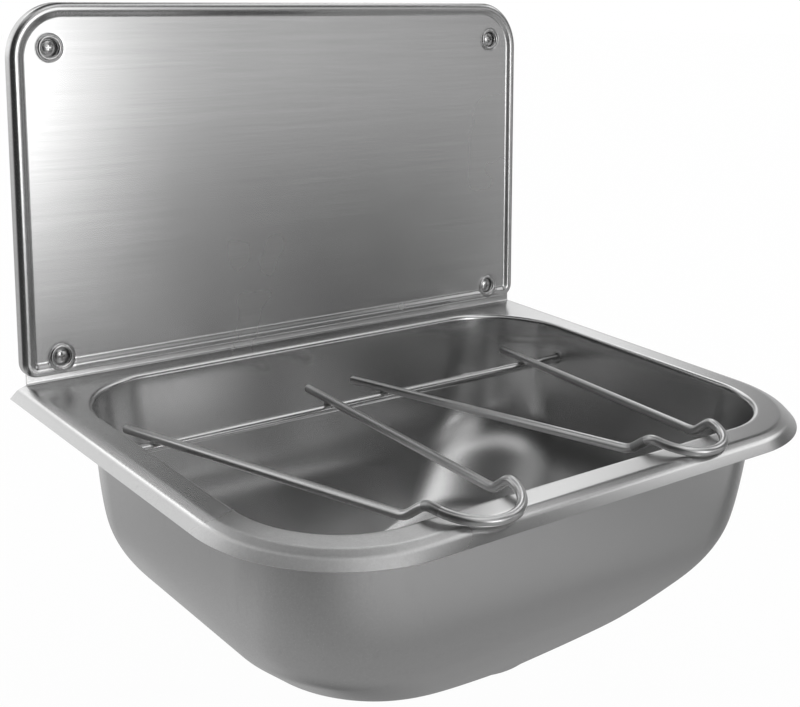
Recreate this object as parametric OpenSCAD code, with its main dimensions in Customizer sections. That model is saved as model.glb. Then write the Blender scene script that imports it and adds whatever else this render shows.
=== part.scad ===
// Wall-hung slop sink: a deep-drawn steel bowl with a stepped rim, a beaded splashback
// screwed to the wall, a bucket grate of two wire hairpins that tips up on a rod,
// and a strainer waste under the bowl.
// Millimetres: X runs to the right, Y into the wall and Z up. The origin lies on the
// wall, in the middle of the four wall screws.

/* [Sheet] */
// Thickness of the steel sheet
sheet_t = 1; // [0.8:0.05:1.2]
// Fall of the deck and the bowl towards the front, in degrees
deck_fall = 3.9; // [2:0.1:6]

/* [Splashback] */
// Width of the splashback
splash_w = 500; // [490:1:540]
// Height of the splashback above the deck
splash_h = 288; // [278:1:340]
// Outer radius of the two top corners
splash_corner_r = 42; // [30:1:60]
// Inner radius of the bead at the two bottom corners
foot_corner_r = 0.8; // [0.7:0.1:4]
// Width of the pressed bead round the panel
bead_w = 11.4; // [10:0.1:13]
// How far the bead stands out in front of the panel
bead_rise = 2.5; // [1.5:0.1:3.5]
// Radius of the bead's outer edge
bead_edge_r = 4.2; // [3:0.1:4.6]
// Distance from the wall to the face of the panel
panel_stand = 8.2; // [7.8:0.1:10]
// Height of the neck strip between the deck and the bead
neck_h = 4.6; // [3.6:0.1:6]
// Distance from the wall to the face of the neck strip
neck_stand = 6.2; // [5:0.1:6.4]

/* [Wall screws] */
// Distance from the splashback's side edges to the screws
screw_inset = 31.5; // [29:0.1:40]
// Distance between the lower and the upper screws
screw_spacing_z = 236; // [220:1:240]
// Height of the lower screws above the deck
low_screw_h = 18.3; // [17:0.1:24]
// Radius of the pressed seat round a screw
dish_r = 10.8; // [10.4:0.1:11.6]
// Depth of the valley at the seat's edge, behind the panel's face
valley_drop = 0.8; // [0.5:0.1:1]
// How far the ring inside the valley stands out in front of the panel
ring_rise = 1; // [0.5:0.1:1.4]
// Radius of the cup that holds the screw's head
cup_r = 6.8; // [6.6:0.1:7.4]
// Distance from the wall to the floor of the cup
cup_stand = 4.2; // [3.4:0.1:5]
// Radius of a screw's shank
screw_r = 3; // [2.5:0.1:3.3]
// Radius of the hole in the cup's floor that the shank passes
screw_hole_r = 4.4; // [4.2:0.1:4.8]
// Radius of a screw's head
head_r = 6; // [5:0.1:6.4]
// Height of a screw's head
head_h = 3.6; // [2.6:0.1:4.4]
// Depth of the cross recess in a head
recess_h = 1.8; // [1.2:0.1:2.2]
// Length of a screw behind the wall's face
screw_reach = 45; // [35:1:60]

/* [Deck and rim] */
// How far the rim stands out beyond the splashback at each side
rim_side = 10.1; // [7.5:0.1:20]
// Distance from the wall to the front edge of the rim, along the deck
rim_front = 389; // [386:0.5:410]
// Corner radius of the rim at its front edge
rim_corner_r = 105; // [90:1:120]
// Width of the step down at the edge of the flat deck
step_w = 1.6; // [1.2:0.1:2]
// Depth of that step
step_drop = 1.75; // [1.2:0.05:2.2]
// Width of the ledge outside the step
ledge_w = 5.1; // [4:0.1:7]
// Fall across the ledge
ledge_drop = 0.3; // [0.1:0.1:0.8]
// Width of the sloping skirt
skirt_w = 6.4; // [4:0.1:7]
// Depth of the sloping skirt
skirt_drop = 6.35; // [4:0.05:9]

/* [Bowl] */
// Inside width of the bowl at its mouth
bowl_w = 456; // [440:1:460]
// Distance from the wall to the back of the mouth, along the deck
bowl_back = 26.5; // [22:0.5:32]
// Distance from the wall to the front of the mouth, along the deck
bowl_front = 354.5; // [346:0.5:358]
// Inside corner radius of the bowl at its mouth
bowl_corner_r = 72; // [65:1:85]
// How much that radius grows down the wall
corner_growth = 12; // [6:1:18]
// Radius of the roll from the deck into the bowl
lip_r = 3; // [2:0.1:4]
// Inside depth of the bowl below the deck
bowl_depth = 177; // [172:1:200]
// Depth at which the straight wall starts to bend
wall_depth = 66; // [55:1:75]
// Radius of the round recess that takes the waste
waste_seat_r = 39; // [37:0.5:42]
// Depth of that recess
waste_seat_drop = 3; // [2.5:0.1:4]
// Radius of the waste hole
waste_hole_r = 26; // [25.5:0.1:27]

/* [Grate] */
// Radius of the pivot rod
rod_r = 4; // [3:0.1:5]
// Distance from the wall to the rod, along the deck
rod_back = 99.7; // [95:0.5:110]
// Depth of the rod's centre below the deck
rod_drop = 30.4; // [27:0.1:34]
// Clearance round the rod in its two pivot holes
rod_clear = 0.05; // [0.02:0.01:0.09]
// Depth of the pressed pockets that the rod's ends turn in
pocket_depth = 4; // [3:0.1:5]
// End play of the rod at each side
rod_play = 0.3; // [0.1:0.1:0.8]
// Radius of the hairpin wire
wire_r = 3.5; // [3:0.1:4]
// Depth to which a wire's weld sinks into the rod
weld_sink = 0.3; // [0.1:0.1:0.6]
// Centre of the left hairpin on the rod
left_hairpin_x = -108.3; // [-112:0.1:-104]
// Centre of the right hairpin on the rod
right_hairpin_x = 104.3; // [100:0.1:112]
// Turn of the left hairpin as it is welded, in degrees
left_hairpin_turn = 1.6; // [-2:0.1:2]
// Turn of the right hairpin as it is welded, in degrees
right_hairpin_turn = -0.9; // [-2:0.1:2]
// Distance between a hairpin's two legs on the rod
leg_spread = 156.6; // [140:0.2:158]
// Distance between the left hairpin's legs where its loop starts
left_loop_spread = 68.8; // [58:0.2:70]
// Distance between the right hairpin's legs where its loop starts
right_loop_spread = 61.6; // [56:0.2:70]
// Length of the legs' tails behind the rod
tail_l = 37; // [25:1:45]
// Rise of the legs towards the front, in degrees
leg_rise = 4.3; // [4:0.1:4.6]
// Distance from the wall to the foot of the jog over the front lip
jog_foot = 336; // [333:0.5:337]
// Distance from the wall to the top of the jog
jog_top = 352; // [350:0.5:354]
// Height of the wire's centre above the deck at the top of the jog
jog_h = 8; // [7.5:0.1:12]
// Distance from the wall to the start of the loop
loop_start = 357; // [356:0.5:360]
// Gap left between the loop and the deck's front edge
loop_gap = 0.4; // [0.3:0.1:1]

/* [Waste] */
// Radius of the strainer plate
strainer_r = 35; // [33:0.5:36]
// Thickness of the strainer plate
strainer_t = 1.2; // [1:0.1:1.6]
// Depth of the strainer's sieve below its flange
sieve_drop = 3.5; // [2.5:0.1:4.5]
// Radius of the sieve's holes
sieve_hole_r = 2.5; // [1.8:0.1:2.8]
// Clearance of the sieve in the waste hole
sieve_clear = 1; // [0.6:0.1:1.5]
// Thickness of the upper gasket
upper_gasket_t = 1.5; // [1:0.1:1.6]
// Thickness of the lower gasket
lower_gasket_t = 3; // [2:0.1:4]
// Outer radius of the waste body's flange
waste_flange_r = 38; // [36:0.5:40]
// Thickness of the waste body's flange and walls
waste_wall = 3; // [2.5:0.1:3.5]
// Height of the waste body's funnel
funnel_h = 13; // [12:0.5:18]
// Radius of the threaded tail
tail_r = 23.9; // [22:0.1:25]
// Length of the threaded tail
tail_pipe_l = 30; // [24:1:34]
// Radius of the strainer screw's shank
clamp_r = 3; // [2.5:0.1:3.5]
// Radius of the strainer screw's head
clamp_head_r = 6; // [5:0.1:6.5]

/* [Hidden] */
$fn = 48;

steel = [0.72, 0.73, 0.74];
bright_steel = [0.82, 0.82, 0.83];
rubber = [0.12, 0.12, 0.12];
plastic = [0.86, 0.86, 0.84];

// Heights in the row's frame
deck_z = -(screw_spacing_z / 2 + low_screw_h);
splash_top = deck_z + splash_h;
splash_bottom = deck_z + neck_h;

// Splashback
crest = panel_stand + bead_rise;
lap = foot_corner_r - 0.1;
bottom_corner_r = bead_w + foot_corner_r;
dish_half_x = splash_w / 2 - screw_inset;
valley_r = dish_r - 0.8;
ring_half_w = (valley_r - 0.2 - cup_r) / 2;
screw_places = [[-dish_half_x, screw_spacing_z / 2], [dish_half_x, screw_spacing_z / 2],
                [-dish_half_x, -screw_spacing_z / 2], [dish_half_x, -screw_spacing_z / 2]];

// Deck: its flat part ends where the step starts
rim_w = splash_w + 2 * rim_side;
rim_run = step_w + ledge_w + skirt_w;
deck_half = rim_w / 2 - rim_run;
deck_front = rim_front - rim_run;
deck_corner_r = rim_corner_r - rim_run;
rim_cut = neck_stand - sheet_t;

// Rim section from the skirt's lower edge to the deck: distance outside the deck, height
rim_corners = [[rim_run, -(step_drop + ledge_drop + skirt_drop)],
               [step_w + ledge_w, -(step_drop + ledge_drop)],
               [step_w, -step_drop], [0, 0], [-2 * step_w, 0]];
rim_curve = [rim_corners[0],
             each eased(rim_corners[0], rim_corners[1], rim_corners[2], 1.6, 3),
             each eased(rim_corners[1], rim_corners[2], rim_corners[3], 1, 3),
             each eased(rim_corners[2], rim_corners[3], rim_corners[4], 0.8, 3)];

// Wall section as a smooth curve past six control points: inset of the sides,
// inset of the front and the back, depth, corner radius
floor_bend = bowl_depth - 11;
deep_corner_r = bowl_corner_r + corner_growth;
wall_controls = [[0, 0, lip_r, bowl_corner_r], [2, 0, wall_depth, deep_corner_r - 4],
                 [11, 6, wall_depth + 42, deep_corner_r], [47, 28, floor_bend - 25, deep_corner_r],
                 [73, 50, floor_bend, deep_corner_r], [172, 60, bowl_depth, deep_corner_r]];
wall_curve = smooth(wall_controls, 5);

// Pivot
pivot_wall_x = bowl_w / 2 - lookup(rod_drop, [for (s = wall_curve) [s[2], s[0]]]);
bore_r = rod_r + rod_clear;
bore_end = pivot_wall_x + pocket_depth;
rod_half = bore_end - rod_play;

// Hairpin wire
wire_on_rod = rod_r + wire_r - weld_sink - rod_drop;
leg_run = loop_start - rod_back;
// The loop slopes down from the jog so that it just clears the deck's front edge
loop_fall = (jog_h - wire_r - loop_gap) / (deck_front - jog_top);
jog_ease = 6;
wire_sides = 10;

// Waste, measured down from the deck along the drain
waste_y = -(bowl_front + bowl_back) / 2;
seat_top = -(bowl_depth + waste_seat_drop);
seat_under = seat_top - sheet_t;
flange_under = seat_top + upper_gasket_t;
body_top = seat_under - lower_gasket_t;
body_bottom = body_top - waste_wall - funnel_h - tail_pipe_l;
sieve_r = waste_hole_r - sieve_clear;
sieve_top = flange_under + strainer_t - sieve_drop;
bridge_top = body_top - waste_wall;
bridge_h = 8;
boss_r = 7;
thread_bite = 0.25;
gasket_edge = 1;

function unit(v) = v / norm(v);

// Points of a curve that rounds the corner b between a and c
function eased(a, b, c, cut, steps) =
    let (p = b + unit(a - b) * min(cut, norm(a - b) / 2),
         q = b + unit(c - b) * min(cut, norm(c - b) / 2))
    [for (i = [0 : steps]) let (t = i / steps)
        p * (1 - t) * (1 - t) + b * 2 * t * (1 - t) + q * t * t];

// Smooth curve from the first control point to the last, drawn towards those between
function smooth(c, steps) =
    [for (k = [1 : len(c) - 2])
        let (p = k == 1 ? c[0] : (c[k - 1] + c[k]) / 2,
             q = k == len(c) - 2 ? c[k + 1] : (c[k] + c[k + 1]) / 2,
             last = k == len(c) - 2 ? steps : steps - 1)
        for (i = [0 : last]) let (t = i / steps)
            p * (1 - t) * (1 - t) + c[k] * 2 * t * (1 - t) + q * t * t];

// A station is one level outline: half width, front, back, corner radius, height.
// Its ring runs anticlockwise round four rounded corners.
arc_steps = 10;
function ring(s) =
    let (r = min(s[3], s[0] - 0.5, (s[2] - s[1]) / 2 - 0.5))
    [for (corner = [0 : 3]) for (i = [0 : arc_steps])
        let (turn = 90 * (corner + i / arc_steps),
             cx = (corner == 0 || corner == 3) ? s[0] - r : r - s[0],
             cy = corner < 2 ? s[2] - r : s[1] + r)
        [cx + r * cos(turn), cy + r * sin(turn), s[4]]];

// Stations of the upper face of the pressing, from the skirt's edge down to the floor.
// The rim's outlines close behind the wall, where they are cut off square.
rim_back = rim_corner_r + 20;
face_stations = concat(
    [for (p = rim_curve)
        [deck_half + p[0], -(deck_front + p[0]), rim_back + p[0], deck_corner_r + p[0], p[1]]],
    [for (i = [0 : 4]) let (a = 90 * i / 4, out = lip_r * (1 - sin(a)))
        [bowl_w / 2 + out, -(bowl_front + out), out - bowl_back, bowl_corner_r + out,
         lip_r * (cos(a) - 1)]],
    [for (i = [1 : len(wall_curve) - 1]) let (s = wall_curve[i])
        [bowl_w / 2 - s[0], s[1] - bowl_front, -bowl_back - s[1], s[3], -s[2]]]);

// Mean section of the pressing, and the way to its under face at each station
function section_point(s) = [(s[0] - s[1]) / 2, s[4]];
function under_way(list, i) =
    let (here = section_point(list[i]),
         before = i == 0 ? undef : unit(here - section_point(list[i - 1])),
         after = i == len(list) - 1 ? undef : unit(section_point(list[i + 1]) - here),
         a = i == 0 ? after : before,
         b = i == len(list) - 1 ? before : after,
         mid = unit(a + b))
    [-mid[1], mid[0]] / max(0.5, mid * a);
under_stations = [for (i = [0 : len(face_stations) - 1])
    let (s = face_stations[i], d = under_way(face_stations, i) * sheet_t)
    [s[0] + d[0], s[1] - d[0], s[2] + d[0], s[3] + d[0], s[4] + d[1]]];

// Closed skin over rings of equal length, capped at both ends
module loft(rings) {
    n = len(rings[0]);
    last = len(rings) - 1;
    polyhedron(
        points = [for (r = rings) each r],
        faces = [
            [for (i = [n - 1 : -1 : 0]) i],
            for (j = [0 : last - 1]) for (i = [0 : n - 1])
                [j * n + i, j * n + (i + 1) % n, (j + 1) * n + (i + 1) % n],
            for (j = [0 : last - 1]) for (i = [0 : n - 1])
                [j * n + i, (j + 1) * n + (i + 1) % n, (j + 1) * n + i],
            [for (i = [0 : n - 1]) last * n + i]],
        convexity = 8);
}

// Places its children in the deck's own frame, level with the deck's upper face
module on_deck() {
    translate([0, 0, deck_z]) rotate([deck_fall, 0, 0]) children();
}

// Places its children on the drain's axis, at deck level
module on_drain() {
    on_deck() translate([0, waste_y, 0]) children();
}

module drawn_shell() {
    count = len(face_stations);
    loft(concat([for (i = [count - 1 : -1 : 0]) ring(face_stations[i])],
                [for (i = [0 : count - 1]) ring(under_stations[i])]));
}

// Outside of a pressed pivot pocket at each end of the rod
module pivot_pockets() {
    for (side = [-1, 1])
        translate([side * (pivot_wall_x + sheet_t / 2), -rod_back, -rod_drop])
            rotate([0, side * 90, 0])
                cylinder(h = pocket_depth + sheet_t / 2, r = bore_r + sheet_t);
}

module pivot_bores() {
    for (side = [-1, 1])
        translate([side * (pivot_wall_x - 4), -rod_back, -rod_drop])
            rotate([0, side * 90, 0])
                cylinder(h = pocket_depth + 4, r = bore_r);
}

// Round recess for the waste, pressed into the floor
module waste_seat() {
    rotate_extrude()
        polygon([[waste_hole_r, seat_top], [waste_seat_r - 2, seat_top],
                 [waste_seat_r, -bowl_depth], [waste_seat_r + 2, -bowl_depth],
                 [waste_seat_r + 2, -bowl_depth - sheet_t],
                 [waste_seat_r + 0.6, -bowl_depth - sheet_t],
                 [waste_seat_r - 1.4, seat_under], [waste_hole_r, seat_under]]);
}

module bowl() {
    color(steel)
    difference() {
        union() {
            on_deck() difference() {
                drawn_shell();
                translate([0, waste_y, seat_under - 5])
                    cylinder(h = 20 + waste_seat_drop, r = waste_seat_r + 1);
            }
            on_drain() waste_seat();
            on_deck() pivot_pockets();
        }
        on_deck() pivot_bores();
        translate([-rim_w, -rim_cut, deck_z - rim_w])
            cube([2 * rim_w, rim_w, 2 * rim_w]);
    }
}

// Bead section: distance in from the splashback's edge, distance from the wall.
// It starts at the given distance from the wall and ends a short lap into the panel.
bead_steps = 6;
edge_turn = [for (i = [0 : bead_steps]) let (a = 90 * i / bead_steps)
    [1 - cos(a), sin(a)]];
flank_start = bead_edge_r + 1.2;
flank = [for (i = [0 : bead_steps]) let (t = i / bead_steps)
    [flank_start + (bead_w - flank_start) * t,
     panel_stand + bead_rise * (1 + cos(180 * t)) / 2]];
function bead_face(from_wall) = concat(
    [[0, from_wall]],
    [for (p = edge_turn) [bead_edge_r * p[0], crest - bead_edge_r + bead_edge_r * p[1]]],
    flank,
    [[bead_w + lap, panel_stand]]);
inner_edge_r = bead_edge_r - sheet_t;
function bead_section(from_wall) = concat(
    bead_face(from_wall),
    [[bead_w + lap, panel_stand - sheet_t]],
    [for (i = [bead_steps : -1 : 0]) flank[i] - [0, sheet_t]],
    [for (i = [bead_steps : -1 : 0])
        [sheet_t + inner_edge_r * edge_turn[i][0],
         crest - bead_edge_r + inner_edge_r * edge_turn[i][1]]],
    [[sheet_t, from_wall]]);

// The splashback is drawn flat, seen from the front: X to the right, Y up, Z from the wall
module on_wall() {
    rotate([90, 0, 0]) children();
}

// Straight stretch of bead along X, centred, with its edge on the X axis
module bead_run(length, section) {
    translate([-length / 2, 0, 0]) rotate([90, 0, 90])
        linear_extrude(height = length) polygon(section);
}

module bead_corner(r) {
    rotate_extrude(angle = 90)
        polygon([for (p = bead_section(0)) [r - p[0], p[1]]]);
}

module bead() {
    side_l = splash_top - splash_bottom - splash_corner_r - bottom_corner_r;
    side_y = splash_bottom + bottom_corner_r + side_l / 2;
    translate([0, splash_bottom, 0])
        bead_run(splash_w - 2 * bottom_corner_r, bead_section(rim_cut));
    translate([0, splash_top, 0]) rotate([0, 0, 180])
        bead_run(splash_w - 2 * splash_corner_r, bead_section(0));
    for (side = [-1, 1]) {
        translate([side * splash_w / 2, side_y, 0]) rotate([0, 0, side * 90])
            bead_run(side_l, bead_section(0));
        translate([side * (splash_w / 2 - splash_corner_r), splash_top - splash_corner_r, 0])
            rotate([0, 0, side > 0 ? 0 : 90]) bead_corner(splash_corner_r);
        translate([side * (splash_w / 2 - bottom_corner_r), splash_bottom + bottom_corner_r, 0])
            rotate([0, 0, side > 0 ? -90 : 180]) bead_corner(bottom_corner_r);
    }
}

// Flat rectangle with round corners, its top corners rounder than its bottom ones
module panel_outline() {
    half = splash_w / 2 - bead_w;
    low = splash_bottom + bead_w;
    high = splash_top - bead_w;
    r = splash_corner_r - bead_w;
    translate([-half, low + foot_corner_r]) square([2 * half, high - r - low - foot_corner_r]);
    translate([r - half, high - r - 1]) square([2 * (half - r), r + 1]);
    translate([foot_corner_r - half, low]) square([2 * (half - foot_corner_r), foot_corner_r + 1]);
    for (side = [-1, 1]) {
        translate([side * (half - r), high - r]) circle(r);
        translate([side * (half - foot_corner_r), low + foot_corner_r]) circle(foot_corner_r);
    }
}

// Seat that takes a screw: a valley, a half-round ring and a cup for the head
module screw_dish() {
    valley_z = panel_stand - valley_drop;
    rotate_extrude()
        polygon(concat(
            [[dish_r + 0.5, panel_stand], [dish_r, panel_stand], [valley_r, valley_z]],
            [for (i = [0 : 8]) let (a = 180 * i / 8)
                [cup_r + ring_half_w * (1 + cos(a)), valley_z + (valley_drop + ring_rise) * sin(a)]],
            [[cup_r, cup_stand], [screw_hole_r, cup_stand],
             [screw_hole_r, cup_stand - sheet_t], [cup_r + sheet_t, cup_stand - sheet_t],
             [cup_r + sheet_t, valley_z - sheet_t], [valley_r, valley_z - sheet_t],
             [dish_r + 0.5, panel_stand - sheet_t]]));
}

// Wall of a lower seat where it cuts into the bottom bead
module dish_collar() {
    intersection() {
        difference() {
            translate([0, 0, panel_stand - sheet_t])
                cylinder(h = bead_rise + sheet_t, r = dish_r + sheet_t);
            translate([0, 0, panel_stand - 2 * sheet_t])
                cylinder(h = bead_rise + 3 * sheet_t, r = dish_r);
        }
        translate([0, splash_bottom + screw_spacing_z / 2, 0])
            bead_run(4 * dish_r, concat(bead_face(0), [[bead_w + lap, 0]]));
    }
}

module splashback() {
    color(steel)
    difference() {
        on_wall() {
            difference() {
                union() {
                    bead();
                    translate([0, 0, panel_stand - sheet_t])
                        linear_extrude(height = sheet_t) panel_outline();
                }
                for (p = screw_places)
                    translate([p[0], p[1], panel_stand - 2 * sheet_t])
                        cylinder(h = bead_rise + 4 * sheet_t, r = dish_r);
            }
            for (p = screw_places) translate([p[0], p[1], 0]) screw_dish();
            for (p = [screw_places[2], screw_places[3]])
                translate([p[0], p[1], 0]) dish_collar();
            difference() {
                translate([-deck_half, deck_z - sheet_t, rim_cut])
                    cube([2 * deck_half, neck_h + bottom_corner_r, sheet_t]);
                for (p = [screw_places[2], screw_places[3]])
                    translate([p[0], p[1], 0]) cylinder(h = crest, r = cup_r + sheet_t / 2);
            }
        }
        on_deck() translate([-splash_w, -splash_w, -splash_w])
            cube([2 * splash_w, 2 * splash_w, splash_w]);
    }
}

module pivot_rod() {
    chamfer = 0.8;
    color(bright_steel)
    on_deck() translate([0, -rod_back, -rod_drop]) {
        translate([-rod_half + chamfer, 0, 0]) rotate([0, 90, 0])
            cylinder(h = 2 * (rod_half - chamfer), r = rod_r);
        for (side = [-1, 1])
            translate([side * (rod_half - chamfer), 0, 0]) rotate([0, side * 90, 0])
                cylinder(h = chamfer, r1 = rod_r, r2 = rod_r - chamfer);
    }
}

// Half of a hairpin's centre line, from its tail to the start of the loop, for one side
function leg_height(out) = wire_on_rod + tan(leg_rise) * (out - rod_back);
function leg_path(side, turn) =
    let (across = function(out) side * (leg_spread / 2 - tan(turn) * (out - rod_back)),
         tail_out = rod_back - tail_l,
         tail = [across(tail_out), -tail_out, leg_height(tail_out)],
         foot = [across(jog_foot), -jog_foot, leg_height(jog_foot)],
         top = [across(jog_top), -jog_top, jog_h],
         start = [across(loop_start), -loop_start, jog_h - loop_fall * (loop_start - jog_top)])
    concat([tail, tail + unit(foot - tail) * 0.8],
           eased(tail, foot, top, jog_ease, 4),
           eased(foot, top, start, jog_ease, 4),
           [start]);

// Whole centre line of a hairpin: a leg, the loop and the other leg
loop_steps = 14;
function hairpin_path(loop_spread) =
    let (turn = atan((leg_spread - loop_spread) / 2 / leg_run),
         r = loop_spread / 2 / cos(turn),
         right_leg = leg_path(1, turn))
    concat(leg_path(-1, turn),
           [for (i = [1 : loop_steps - 1])
               let (a = 180 + turn + (180 - 2 * turn) * i / loop_steps,
                    out = loop_start - r * sin(turn) - r * sin(a))
               [r * cos(a), -out, jog_h - loop_fall * (out - jog_top)]],
           [for (i = [len(right_leg) - 1 : -1 : 0]) right_leg[i]]);

// Ring of points round a wire, square to its run; the two ends are chamfered
function wire_ring(path, i) =
    let (last = len(path) - 1,
         back = i == 0 ? unit(path[1] - path[0]) : unit(path[i] - path[i - 1]),
         on = i == last ? back : unit(path[i + 1] - path[i]),
         run = unit(back + on),
         side = unit(cross(run, [0, 0, 1])),
         up = cross(side, run),
         r = (i == 0 || i == last) ? wire_r - 0.7 : wire_r)
    [for (k = [0 : wire_sides - 1]) let (a = 360 * (k + 0.5) / wire_sides)
        path[i] + r * (cos(a) * side + sin(a) * up)];

module hairpin(x, turn, loop_spread) {
    path = hairpin_path(loop_spread);
    color(bright_steel)
    on_deck() translate([x, -rod_back, 0]) rotate([0, 0, turn]) translate([0, rod_back, 0])
        loft([for (i = [0 : len(path) - 1]) wire_ring(path, i)]);
}

module hairpin_left() {
    hairpin(left_hairpin_x, left_hairpin_turn, left_loop_spread);
}

module hairpin_right() {
    hairpin(right_hairpin_x, right_hairpin_turn, right_loop_spread);
}

// Dome of a screw's head over a short straight edge, with a cross recess
module screw_head(r, h) {
    edge = 0.4 * h;
    difference() {
        rotate_extrude()
            polygon(concat([[0, 0], [r, 0]],
                           [for (i = [0 : 8]) let (a = 90 * i / 8)
                               [r * cos(a), edge + (h - edge) * sin(a)]]));
        for (turn = [0, 90]) rotate([0, 0, turn])
            translate([-0.55 * r, -0.13 * r, h - recess_h])
                cube([1.1 * r, 0.26 * r, h]);
    }
}

module wall_screw(place) {
    tip = 2 * screw_r;
    color(bright_steel)
    on_wall() translate([place[0], place[1], 0]) {
        translate([0, 0, cup_stand]) screw_head(head_r, head_h);
        translate([0, 0, tip - screw_reach])
            cylinder(h = screw_reach - tip + cup_stand + 0.5, r = screw_r);
        translate([0, 0, -screw_reach]) cylinder(h = tip, r1 = 0.4, r2 = screw_r);
    }
}

module wall_screw_top_left() {
    wall_screw(screw_places[0]);
}

module wall_screw_top_right() {
    wall_screw(screw_places[1]);
}

module wall_screw_bottom_left() {
    wall_screw(screw_places[2]);
}

module wall_screw_bottom_right() {
    wall_screw(screw_places[3]);
}

module strainer_plate() {
    flange_top = flange_under + strainer_t;
    color(bright_steel)
    on_drain() difference() {
        rotate_extrude()
            polygon([[clamp_r + 0.3, sieve_top - strainer_t], [sieve_r, sieve_top - strainer_t],
                     [sieve_r, flange_under], [strainer_r, flange_under],
                     [strainer_r, flange_top - strainer_t / 2],
                     [strainer_r - strainer_t / 2, flange_top],
                     [sieve_r - strainer_t, flange_top], [sieve_r - strainer_t, sieve_top],
                     [clamp_r + 0.3, sieve_top]]);
        for (row = [[0.5, 8], [0.78, 12]]) for (i = [0 : row[1] - 1])
            rotate([0, 0, 360 * (i + 0.5) / row[1]])
                translate([row[0] * (sieve_r - strainer_t), 0, sieve_top - 2 * strainer_t])
                    cylinder(h = 3 * strainer_t, r = sieve_hole_r);
    }
}

module strainer_screw() {
    shank_l = sieve_top - bridge_top + bridge_h;
    color(bright_steel)
    on_drain() translate([0, 0, sieve_top]) {
        screw_head(clamp_head_r, recess_h + 1.4);
        translate([0, 0, -shank_l]) cylinder(h = shank_l + 1, r = clamp_r);
    }
}

module upper_gasket() {
    color(rubber)
    on_drain() translate([0, 0, seat_top]) difference() {
        cylinder(h = upper_gasket_t, r = strainer_r - gasket_edge);
        translate([0, 0, -1]) cylinder(h = upper_gasket_t + 2, r = waste_hole_r);
    }
}

module lower_gasket() {
    color(rubber)
    on_drain() translate([0, 0, body_top]) difference() {
        cylinder(h = lower_gasket_t, r = waste_seat_r - 2);
        translate([0, 0, -1]) cylinder(h = lower_gasket_t + 2, r = waste_hole_r);
    }
}

// Cup under the bowl: a flange, a funnel and a threaded tail, with a bridge for the screw
module waste_body() {
    mouth_r = waste_flange_r - 2 * waste_wall;
    funnel_top = body_top - waste_wall;
    tail_top = funnel_top - funnel_h;
    color(plastic)
    on_drain() difference() {
        union() {
            rotate_extrude()
                polygon([[mouth_r, body_top], [waste_flange_r, body_top],
                         [waste_flange_r, funnel_top], [mouth_r + waste_wall, funnel_top],
                         [tail_r, tail_top], [tail_r, body_bottom],
                         [tail_r - waste_wall, body_bottom],
                         [tail_r - waste_wall, tail_top + 1], [mouth_r, funnel_top + 1]]);
            translate([-mouth_r, -2, bridge_top - bridge_h]) intersection() {
                cube([2 * mouth_r, 4, bridge_h]);
                translate([mouth_r, 2, 0])
                    cylinder(h = bridge_h, r1 = tail_r + 1, r2 = mouth_r + 1);
            }
            translate([0, 0, bridge_top - bridge_h]) cylinder(h = bridge_h, r = boss_r);
        }
        translate([0, 0, bridge_top - bridge_h - 1])
            cylinder(h = bridge_h + 2, r = clamp_r - thread_bite);
    }
}

bowl();
splashback();
pivot_rod();
hairpin_left();
hairpin_right();
wall_screw_top_left();
wall_screw_top_right();
wall_screw_bottom_left();
wall_screw_bottom_right();
strainer_plate();
strainer_screw();
upper_gasket();
lower_gasket();
waste_body();
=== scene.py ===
import bpy
import bmesh
import math
from mathutils import Matrix, Vector
from mathutils.geometry import delaunay_2d_cdt


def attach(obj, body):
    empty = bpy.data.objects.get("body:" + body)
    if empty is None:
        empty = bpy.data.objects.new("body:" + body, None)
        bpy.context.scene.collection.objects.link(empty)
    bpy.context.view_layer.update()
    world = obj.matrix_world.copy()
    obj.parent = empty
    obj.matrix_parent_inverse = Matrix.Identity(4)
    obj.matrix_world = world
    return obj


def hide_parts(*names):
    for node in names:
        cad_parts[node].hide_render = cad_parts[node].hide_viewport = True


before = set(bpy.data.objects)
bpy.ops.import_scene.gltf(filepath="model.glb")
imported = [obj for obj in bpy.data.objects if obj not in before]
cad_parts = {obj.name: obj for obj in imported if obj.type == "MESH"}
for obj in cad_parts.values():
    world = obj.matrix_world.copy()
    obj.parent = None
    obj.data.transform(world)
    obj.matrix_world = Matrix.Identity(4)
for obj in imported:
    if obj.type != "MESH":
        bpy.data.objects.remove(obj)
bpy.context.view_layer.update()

print("frame loaded:", len(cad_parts), "nodes")

mm = 0.001
sheetT = 1.0
deckHeight = -136.3
deckFall = 3.9
toMetres = Matrix.Scale(mm, 4)
onWall = Matrix.Rotation(math.radians(90), 4, "X")   # X right, Y up, Z out from the wall
onDeck = Matrix.Translation((0, 0, deckHeight)) @ Matrix.Rotation(math.radians(deckFall), 4, "X")

camera = {
    "place": (-630.9, -961.5, 147.7), "azimuth": -37.92, "elevation": 8.98,
    "lens": 60.4, "shiftY": -0.1675,
}


def outward(azimuth, elevation):
    # direction from the middle: azimuth from the front towards the right, in degrees
    a, e = math.radians(azimuth), math.radians(elevation)
    return Vector((math.sin(a) * math.cos(e), -math.cos(a) * math.cos(e), math.sin(e)))


def setCamera(c):
    data = bpy.data.cameras.new("camera")
    data.lens, data.sensor_width, data.shift_y = c["lens"], 36, c["shiftY"]
    data.clip_end = 100
    back = outward(c["azimuth"], c["elevation"])
    right = Vector((0, 0, 1)).cross(back).normalized()
    turn = Matrix((right, back.cross(right), back)).transposed().to_4x4()
    eye = bpy.data.objects.new("camera", data)
    eye.matrix_world = Matrix.Translation(Vector(c["place"]) * mm) @ turn
    bpy.context.scene.collection.objects.link(eye)
    bpy.context.scene.camera = eye


setCamera(camera)


# Helpers for curves and meshes
def bent(p, b, q, t):
    # a point of the curve from p to q that b pulls
    return p * (1 - t) ** 2 + b * 2 * t * (1 - t) + q * t * t


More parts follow.
